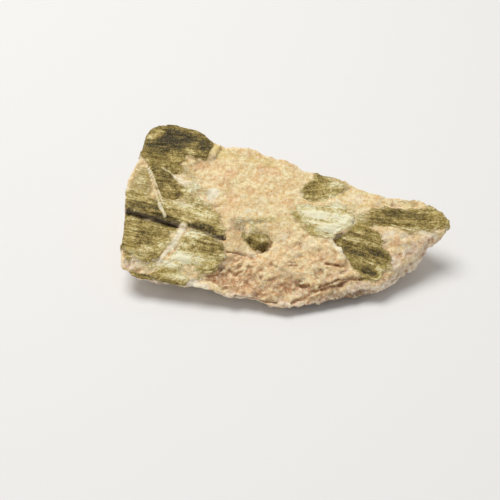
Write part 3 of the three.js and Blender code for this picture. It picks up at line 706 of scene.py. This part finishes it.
def crystal_relief(points, lay, pitch, chips, chipped):
    """The height of a crystal's grooves, steps and chips over its plain skin."""
    height = CRYSTAL_RISE + CHIPS_RELIEF * chips + CHIPPED_RELIEF * chipped
    for *kind, depth in (MAIN_GROOVES, FINE_GROOVES):
        height += depth * groove_noise(lay, pitch, *kind)
    *kind, depth = STEPS
    steps = groove_noise(lay, pitch, *kind)
    return height + depth * np.sign(steps) * np.sqrt(np.abs(steps))


def crystal_piece(crystal):
    """One crystal, grooved along its length and grown into the stone round it."""
    name = crystal["node"].replace("tourmaline_", "crystal_")
    piece = merged_copy(crystal["node"], name)
    even_skin(piece, CRYSTAL_VOXEL)
    soften(piece, times=3)
    points, normals = points_and_normals(piece)
    depth = TO_STONE(points) - CRYSTAL_GAP
    outside = TO_STONE(points + LOOK_BESIDE * along_face(normals))
    beside_stone = 1 - smoothstep(*BESIDE, outside)
    reach = CRYSTAL_REACH + REACH_SWING * rough(points, *CREEP)
    spread_on_face(piece, reach * beside_stone)

    points, normals = points_and_normals(piece)
    face = on_face(points)
    ragged = raggedness(points)
    top = smoothstep(*CRYSTAL_FACING, normals @ BLOCK_TO_FACE[2, :3])
    chips = rough(points, *CHIPS)
    chipped = facets(points, *CHIPPED)
    lay = turned(face, crystal["turn"])
    height = crystal_relief(points, lay, crystal["pitch"], chips, chipped)
    height -= SUNK_EDGE * (1 - smoothstep(*SUNK, depth))
    height -= STONE_COVER * patch_field(face, PATCHES["bare"], ragged)
    height -= patch_field(face, PITS, ragged)
    height += LATH_HEIGHT * line_field(face, LATHS, LATH_CALM * ragged)
    rim = RIM_RELIEF * (chips + chipped) * (1 - top) * (1 - beside_stone)
    height = (height * top + rim) * smoothstep(*OFF_FLOOR, points[:, 2])
    move_to(piece, points + normals * height[:, None])
    soften(piece, times=1)
    draw_in_ends(piece)
    paint(piece, points, top, crystal["turn"], np.full(len(points), crystal["tone"]))
    shade_smooth(piece)
    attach(piece, "root")
    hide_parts(crystal["node"])
    return piece


# Materials

WHITE = srgb(255, 255, 255)

# Colour ramps: places and colours.
FELDSPAR_TONES = [
    (0.32, srgb(232, 196, 148)),
    (0.43, srgb(242, 218, 164)),
    (0.52, srgb(250, 234, 186)),
    (0.6, srgb(240, 222, 160)),
    (0.7, srgb(252, 242, 208)),
]
GRAIN_TONES = [
    (0.0, srgb(228, 186, 140)),
    (0.3, srgb(244, 218, 168)),
    (0.7, srgb(248, 232, 184)),
    (1.0, srgb(255, 248, 224)),
]
PATCHY_TONES = [(0.36, srgb(222, 182, 132)), (0.5, srgb(244, 222, 172)), (0.64, srgb(253, 244, 210))]
STREAK_SHADE = [(0.36, srgb(216, 188, 146)), (0.48, srgb(246, 238, 222)), (0.58, WHITE)]
FINE_SHADE = [(0.36, srgb(196, 162, 118)), (0.47, srgb(244, 232, 210)), (0.54, WHITE)]
FLAKE_SHADE = [(0.4, srgb(236, 214, 174)), (0.52, WHITE)]
TOURMALINE_TONES = [
    (0.0, srgb(50, 40, 16)),
    (0.2, srgb(88, 74, 32)),
    (0.42, srgb(141, 120, 59)),
    (0.62, srgb(187, 165, 100)),
    (0.8, srgb(224, 210, 156)),
    (1.0, srgb(246, 240, 206)),
]

# Stains of the stone, and painted shade: attribute, colour, where they begin and are full, and their
# strength. Brown is partly painted shade: on the front wall, along the cracks and the lower rim, and
# in small dips. The white one lies over all shading.
STAINS_AND_SHADE = [
    ("yellow", srgb(230, 214, 146), 0.2, 0.9, 0.7),
    ("peach", srgb(234, 186, 142), 0.2, 1.0, 0.8),
    ("brown", srgb(124, 90, 56), 0.35, 0.9, 0.85),
    ("rosy", srgb(240, 224, 209), 0.2, 0.9, 0.8),
]
WHITE_STAIN = ("white", srgb(249, 240, 214), 0.25, 0.8, 0.8)

WALL_TINT = srgb(252, 243, 234)
COARSE_TINT = srgb(255, 236, 196)
CREVICE_PAINTED_SHADE = srgb(188, 136, 94)
CREVICE_LINE_PAINTED_SHADE = srgb(164, 116, 74)
BRIGHT_STREAK = srgb(253, 244, 212)
BRIGHT_FLAKE = srgb(255, 246, 206)
STONE_GLINT = srgb(255, 249, 226)
CRYSTAL_YELLOW = srgb(178, 156, 66)
CRYSTAL_GLINT = srgb(236, 226, 176)
# The colour of the painted shadow in the dark cracks.
CRACK_PAINTED_SHADOW = srgb(58, 46, 28)

# Sizes of the mineral grain that the materials mix, in millimetres, from big to fine.
GRAIN_SIZES = (5.0, 2.4, 1.3, 0.5)

# The crystals' grooves: width as a share of the pitch, and length.
BANDS = (3.2, 11.0)
LINES = (1.0, 6.5)
HAIRS = (0.42, 3.0)
GROOVE_DEPTH = 0.9
FIBRE_PITCH = 0.7
FIBRE_DRIFT = 0.13  # how often the fibres in the stone turn
FIBRE_WANDER = 18.0  # and how far


class Nodes:
    """Builds one node tree in short lines."""

    def __init__(self, tree):
        self.tree = tree

    def join(self, value, socket):
        """Links a node's output to a socket, or sets the socket's own value."""
        if isinstance(value, bpy.types.NodeSocket):
            self.tree.links.new(value, socket)
        else:
            socket.default_value = value

    def add(self, kind, inputs=None, **settings):
        """A node with settings, whose inputs are values or other nodes' outputs."""
        made = self.tree.nodes.new(kind)
        for name, value in settings.items():
            setattr(made, name, value)
        for name, value in (inputs or {}).items():
            self.join(value, made.inputs[name])
        return made

    def math(self, operation, first, second=0.0):
        made = self.add("ShaderNodeMath", operation=operation)
        self.join(first, made.inputs[0])
        self.join(second, made.inputs[1])
        return made.outputs[0]

    def plus(self, first, *others):
        """The sum of values and outputs."""
        for other in others:
            first = self.math("ADD", first, other)
        return first

    def times(self, first, second):
        return self.math("MULTIPLY", first, second)

    def centred(self, value, share):
        """A value about 0.5 made to swing about 0, times a share."""
        return self.times(self.math("SUBTRACT", value, 0.5), share)

    def mix(self, factor, first, second, blend="MIX"):
        """Two colours mixed by a factor."""
        made = self.add("ShaderNodeMix", data_type="RGBA", blend_type=blend, clamp_factor=True)
        for index, value in ((0, factor), (6, first), (7, second)):
            self.join(value, made.inputs[index])
        return made.outputs[2]

    def attribute(self, name, output="Fac"):
        made = self.add("ShaderNodeAttribute", attribute_type="GEOMETRY")
        made.attribute_name = name
        return made.outputs[output]

    def ramp(self, value, stops):
        """A colour ramp through stops of (place, colour)."""
        made = self.add("ShaderNodeValToRGB", {"Fac": value})
        elements = made.color_ramp.elements
        while len(elements) < len(stops):
            elements.new(0.5)
        for element, (place, colour) in zip(elements, stops):
            element.position = place
            element.color = colour
        return made.outputs["Color"]

    def between(self, value, low, high):
        """0 where a value is under low and 1 where it is over high."""
        made = self.add("ShaderNodeMapRange", {"Value": value, "From Min": low, "From Max": high})
        made.clamp = True
        return made.outputs["Result"]

    def noise(self, place, scale, detail, roughness=0.5):
        inputs = {"Vector": place, "Scale": scale, "Detail": detail, "Roughness": roughness}
        return self.add("ShaderNodeTexNoise", inputs).outputs

    def vector(self, operation, first, second):
        inputs = {0: first, 1: second}
        return self.add("ShaderNodeVectorMath", inputs, operation=operation).outputs[0]

    def group(self, tree, inputs):
        return self.add("ShaderNodeGroup", inputs, node_tree=tree).outputs


def new_group(name, size_name, size, outputs):
    """A shader node group that takes a place and one size, and puts out these values."""
    tree = bpy.data.node_groups.new(name, "ShaderNodeTree")
    tree.interface.new_socket("Vector", in_out="INPUT", socket_type="NodeSocketVector")
    socket = tree.interface.new_socket(size_name, in_out="INPUT", socket_type="NodeSocketFloat")
    socket.default_value = size
    for label in outputs:
        kind = "NodeSocketColor" if label == "Color" else "NodeSocketFloat"
        tree.interface.new_socket(label, in_out="OUTPUT", socket_type=kind)
    nodes = Nodes(tree)
    start = nodes.add("NodeGroupInput").outputs
    return tree, nodes, start["Vector"], start[size_name]


def put_out(nodes, values):
    """Ends a node group with its values."""
    nodes.add("NodeGroupOutput", values)


def grain_group():
    """Crystalline grain: a tone for each small grain, mottling, and the grain's relief."""
    outputs = ("Mottle", "Cell", "Speck", "Height")
    tree, nodes, place, size = new_group("mineral_grain", "Size", GRAIN_SIZES[2], outputs)
    scale = nodes.math("DIVIDE", 1.0, size)
    mottle = nodes.noise(place, scale, 4.0, 0.65)["Fac"]
    specks = nodes.noise(place, nodes.times(scale, 2.6), 2.0, 0.6)["Fac"]
    cells = nodes.add("ShaderNodeTexVoronoi", {"Vector": place, "Scale": nodes.times(scale, 1.3)})
    tones = nodes.add("ShaderNodeSeparateColor", {"Color": cells.outputs["Color"]}).outputs
    height = nodes.plus(
        nodes.times(mottle, 0.7), nodes.times(tones["Red"], 0.3), nodes.times(specks, 0.35)
    )
    values = {"Mottle": mottle, "Cell": tones["Green"], "Speck": specks, "Height": height}
    put_out(nodes, values)
    return tree


def groove_group():
    """Lines along a crystal's length, from coordinates whose X runs along it."""
    outputs = ("Bands", "Lines", "Hairs", "Height")
    tree, nodes, place, pitch = new_group("crystal_grooves", "Pitch", FIBRE_PITCH, outputs)
    parts = nodes.add("ShaderNodeSeparateXYZ", {"Vector": place}).outputs

    def stretched(pitch_share, length):
        sizes = {"X": length, "Y": nodes.times(pitch, pitch_share), "Z": GROOVE_DEPTH}
        shares = {axis: nodes.math("DIVIDE", parts[axis], size) for axis, size in sizes.items()}
        joined = nodes.add("ShaderNodeCombineXYZ", shares).outputs["Vector"]
        return nodes.noise(joined, 1.0, 3.0, 0.6)["Fac"]

    bands = stretched(*BANDS)
    lines = stretched(*LINES)
    hairs = stretched(*HAIRS)
    height = nodes.plus(nodes.times(lines, 0.65), nodes.times(hairs, 0.35))
    put_out(nodes, {"Bands": bands, "Lines": lines, "Hairs": hairs, "Height": height})
    return tree


def bent_fibres(nodes, place, lay):
    """Fibres in the stone, whose direction wanders."""
    drift = nodes.noise(place, FIBRE_DRIFT, 1.0)["Color"]
    wander = nodes.vector("SUBTRACT", drift, (0.5, 0.5, 0.5))
    wander = nodes.vector("MULTIPLY", wander, (FIBRE_WANDER,) * 3)
    bent = nodes.vector("ADD", lay, wander)
    return nodes.group(GROOVES, {"Vector": bent, "Pitch": FIBRE_PITCH})


def crevices(nodes, place, coarse, mask):
    """Lines between the crumbs of the coarse stone, painted with shade and sunk in the bump."""
    wavy = nodes.vector("ADD", place, nodes.noise(place, 0.8, 2.0)["Color"])
    crumbs = nodes.add(
        "ShaderNodeTexVoronoi", {"Vector": wavy, "Scale": 0.6}, feature="DISTANCE_TO_EDGE"
    )
    line = nodes.math("SUBTRACT", 1.0, nodes.between(crumbs.outputs["Distance"], 0.0, 0.12))
    here_and_there = nodes.between(mask, 0.52, 0.64)
    return nodes.times(nodes.times(line, coarse), here_and_there)


def stained_or_shaded(nodes, colour, grain, fine, stain_or_shade):
    """Tints a colour where its attribute, broken up by grain, is strong enough. Brown is partly painted
    shade.
    """
    name, tint, low, high, strength = stain_or_shade
    broken = nodes.plus(
        nodes.attribute(name),
        nodes.centred(grain["Mottle"], 1.2),
        nodes.centred(fine["Mottle"], 0.8),
    )
    return nodes.mix(nodes.times(nodes.between(broken, low, high), strength), colour, tint)


def stone_colour(nodes, big, middle, grain, fine, fibres, crevice_lines):
    """Cream and peach feldspar with white flecks and stains, painted shade in its crevices and brown
    patches, and painted glints.
    """

    def tinted(colour, mask, strength, tint):
        return nodes.mix(nodes.times(mask, strength), colour, tint)

    colour = nodes.ramp(big["Mottle"], FELDSPAR_TONES)
    colour = nodes.mix(0.35, colour, nodes.ramp(grain["Cell"], GRAIN_TONES))
    colour = nodes.mix(0.55, colour, nodes.ramp(middle["Mottle"], PATCHY_TONES))
    colour = tinted(colour, nodes.attribute("wall"), 0.9, WALL_TINT)
    colour = tinted(colour, nodes.attribute("coarse"), 0.6, COARSE_TINT)
    for stain_or_shade in STAINS_AND_SHADE:
        colour = stained_or_shaded(nodes, colour, grain, fine, stain_or_shade)
    # Painted shade in the dips and in the lines between the crumbs.
    crevice_shade = nodes.between(nodes.attribute("low"), 0.1, 0.8)
    colour = tinted(colour, crevice_shade, 0.6, CREVICE_PAINTED_SHADE)
    colour = tinted(colour, crevice_lines, 0.5, CREVICE_LINE_PAINTED_SHADE)
    colour = nodes.mix(0.4, colour, nodes.ramp(fibres["Hairs"], STREAK_SHADE), "MULTIPLY")
    colour = tinted(colour, nodes.between(fibres["Lines"], 0.55, 0.68), 0.3, BRIGHT_STREAK)
    colour = nodes.mix(0.42, colour, nodes.ramp(fine["Mottle"], FINE_SHADE), "MULTIPLY")
    colour = nodes.mix(0.5, colour, nodes.ramp(middle["Speck"], FLAKE_SHADE), "MULTIPLY")
    colour = tinted(colour, nodes.between(middle["Speck"], 0.54, 0.68), 0.5, BRIGHT_FLAKE)
    colour = stained_or_shaded(nodes, colour, grain, fine, WHITE_STAIN)
    # Painted glints: small bright specks of highlight on the stone.
    return tinted(colour, nodes.between(fine["Speck"], 0.56, 0.68), 0.7, STONE_GLINT)


def crystal_colour(nodes, middle, grain, fine, grooves):
    """Olive tourmaline with fine lines along its length, lighter and darker in patches, partly painted
    sheen and painted shade, with painted glints.
    """
    tone = nodes.plus(
        nodes.attribute("tone"),
        nodes.centred(grooves["Bands"], 0.45),
        nodes.centred(grooves["Lines"], 0.55),
        nodes.centred(grooves["Hairs"], 0.8),
        nodes.centred(middle["Mottle"], 0.5),
        nodes.centred(grain["Mottle"], 0.7),
        nodes.centred(fine["Mottle"], 1.1),
        # dark is partly painted shade, and pale partly painted sheen.
        nodes.times(nodes.attribute("dark"), -0.4),
        nodes.times(nodes.attribute("pale"), 0.38),
    )
    colour = nodes.ramp(tone, TOURMALINE_TONES)
    yellow = nodes.times(nodes.attribute("yellow"), 0.35)
    colour = nodes.mix(yellow, colour, CRYSTAL_YELLOW)
    # Painted glints: small bright specks of highlight on the crystals.
    glint = nodes.between(fine["Speck"], 0.56, 0.68)
    return nodes.mix(nodes.times(glint, 0.35), colour, CRYSTAL_GLINT)


def face_group():
    """The colour and the fine relief of stone and crystal, and of the borders between them."""
    outputs = ("Color", "Grain", "Fine", "Grooves")
    tree, nodes, place, pitch = new_group("stone_and_crystal", "Pitch", FIBRE_PITCH, outputs)
    grains = [nodes.group(GRAIN, {"Vector": place, "Size": size}) for size in GRAIN_SIZES]
    big, middle, grain, fine = grains
    lay = nodes.attribute("lay", "Vector")
    grooves = nodes.group(GROOVES, {"Vector": lay, "Pitch": pitch})
    broken = nodes.plus(
        nodes.attribute("green"),
        nodes.centred(grain["Mottle"], 0.7),
        nodes.centred(fine["Mottle"], 0.6),
        nodes.centred(grooves["Hairs"], 0.9),
    )
    crystal = nodes.between(broken, 0.3, 0.7)
    fibres = bent_fibres(nodes, place, lay)
    lines = crevices(nodes, place, nodes.attribute("coarse"), middle["Mottle"])
    stone = stone_colour(nodes, big, middle, grain, fine, fibres, lines)
    green = crystal_colour(nodes, middle, grain, fine, grooves)
    colour = nodes.mix(crystal, stone, green)
    # Painted shadow in the dark cracks.
    colour = nodes.mix(nodes.times(nodes.attribute("crack"), 0.85), colour, CRACK_PAINTED_SHADOW)
    furrows = nodes.plus(
        nodes.times(grooves["Height"], crystal),
        nodes.times(fibres["Height"], 0.4),
        nodes.times(lines, -0.5),
    )
    relief = {"Grain": grain["Height"], "Fine": fine["Height"], "Grooves": furrows}
    put_out(nodes, {"Color": colour, **relief})
    return tree


GRAIN = grain_group()
GROOVES = groove_group()
FACE = face_group()


def new_material(name):
    """A material with its nodes and its shader."""
    material = bpy.data.materials.new(name)
    material.use_nodes = True
    material.node_tree.nodes.clear()
    nodes = Nodes(material.node_tree)
    shader = nodes.add("ShaderNodeBsdfPrincipled")
    output = nodes.add("ShaderNodeOutputMaterial")
    material.node_tree.links.new(shader.outputs["BSDF"], output.inputs["Surface"])
    return material, nodes, shader


def millimetres(nodes):
    """Object coordinates in millimetres."""
    place = nodes.add("ShaderNodeTexCoord").outputs["Object"]
    scaled = nodes.add("ShaderNodeMapping", {"Vector": place, "Scale": [1 / MM] * 3})
    return scaled.outputs["Vector"]


def bump(nodes, height, distance, strength, normal=None):
    """Relief this many millimetres high, on top of a normal."""
    inputs = {"Height": height, "Distance": distance * MM, "Strength": strength}
    if normal is not None:
        inputs["Normal"] = normal
    return nodes.add("ShaderNodeBump", inputs).outputs["Normal"]


def mineral_material(name, pitch, roughness, shine):
    """Stone or crystal: the same colours everywhere, with its own roughness and shine."""
    material, nodes, shader = new_material(name)
    surface = nodes.group(FACE, {"Vector": millimetres(nodes), "Pitch": pitch})
    nodes.tree.links.new(surface["Color"], shader.inputs["Base Color"])
    worn = nodes.plus(roughness, nodes.centred(surface["Fine"], 0.4))
    nodes.tree.links.new(worn, shader.inputs["Roughness"])
    normal = bump(nodes, surface["Grain"], 0.45, 0.6)
    normal = bump(nodes, surface["Fine"], 0.22, 0.6, normal)
    normal = bump(nodes, surface["Grooves"], 0.45, 0.8, normal)
    nodes.tree.links.new(normal, shader.inputs["Normal"])
    shader.inputs["Specular IOR Level"].default_value = shine
    # A little light passes through the surface, the red of it deepest.
    shader.inputs["Subsurface Weight"].default_value = 0.1
    shader.inputs["Subsurface Radius"].default_value = (1.0, 0.6, 0.35)
    shader.inputs["Subsurface Scale"].default_value = MM
    return material


def dress(piece, material):
    """Gives a piece its one material."""
    piece.data.materials.clear()
    piece.data.materials.append(material)


# The pieces

FINISHES = {
    "feldspar": mineral_material("feldspar", pitch=0.6, roughness=0.68, shine=0.3),
    GREEN: mineral_material(GREEN, pitch=0.6, roughness=0.5, shine=0.25),
    PALE: mineral_material(PALE, pitch=1.1, roughness=0.42, shine=0.4),
}
dress(stone_matrix(), FINISHES["feldspar"])
for crystal in CRYSTALS:
    dress(crystal_piece(crystal), FINISHES[crystal["finish"]])

# The stage, the light and the camera

FLOOR_HALF = 4.0
FLOOR_DROP = 0.05 * MM
FLOOR_COLOUR = srgb(231, 230, 229)
LIGHT_PLACE = (-0.2, 0.19, 0.83)
LIGHT_COLOUR = (1.0, 0.99, 0.97)
LIGHT_SIZE = 0.5
LIGHT_POWER = 5.8
SKY_COLOUR = (1.0, 0.995, 0.985, 1)
SKY_STRENGTH = 0.42
CAMERA_TARGET = Vector((-9.93, -9.93, 9.0)) * MM
CAMERA_RISE = math.radians(45)
CAMERA_DISTANCE = 262 * MM
CAMERA_LENS = 70
CAMERA_SENSOR = 36


def floor():
    """The pale floor, just under the resting facet."""
    shape = bmesh.new()
    bmesh.ops.create_grid(shape, x_segments=1, y_segments=1, size=FLOOR_HALF)
    mesh = bpy.data.meshes.new("floor")
    shape.to_mesh(mesh)
    shape.free()
    mesh.transform(Matrix.Translation((0, 0, -FLOOR_DROP)))
    plane = bpy.data.objects.new("floor", mesh)
    bpy.context.scene.collection.objects.link(plane)
    material, _, shader = new_material("pale_floor")
    shader.inputs["Base Color"].default_value = FLOOR_COLOUR
    shader.inputs["Roughness"].default_value = 0.9
    dress(plane, material)


def aimed(thing, place, target):
    """Puts a light or a camera in its place, looking at a target."""
    thing.location = place
    away = Vector(target) - Vector(place)
    thing.rotation_euler = away.to_track_quat("-Z", "Y").to_euler()
    bpy.context.scene.collection.objects.link(thing)


def overhead_light():
    """One soft round light, high and a little behind."""
    data = bpy.data.lights.new("overhead", "AREA")
    data.shape = "DISK"
    data.size = LIGHT_SIZE
    data.energy = LIGHT_POWER
    data.color = LIGHT_COLOUR
    aimed(bpy.data.objects.new("overhead", data), LIGHT_PLACE, (0, 0, 0))


def sky():
    """Even light from all round."""
    world = bpy.data.worlds.new("studio")
    bpy.context.scene.world = world
    world.use_nodes = True
    background = world.node_tree.nodes["Background"]
    background.inputs["Color"].default_value = SKY_COLOUR
    background.inputs["Strength"].default_value = SKY_STRENGTH


def front_camera():
    """Looks down on the broken face from the front."""
    data = bpy.data.cameras.new("camera")
    data.lens = CAMERA_LENS
    data.sensor_width = CAMERA_SENSOR
    camera = bpy.data.objects.new("camera", data)
    back = Vector((0, -math.cos(CAMERA_RISE), math.sin(CAMERA_RISE)))
    aimed(camera, CAMERA_TARGET + back * CAMERA_DISTANCE, CAMERA_TARGET)
    bpy.context.scene.camera = camera


floor()
overhead_light()
sky()
front_camera()
bpy.context.scene.view_settings.view_transform = "Standard"
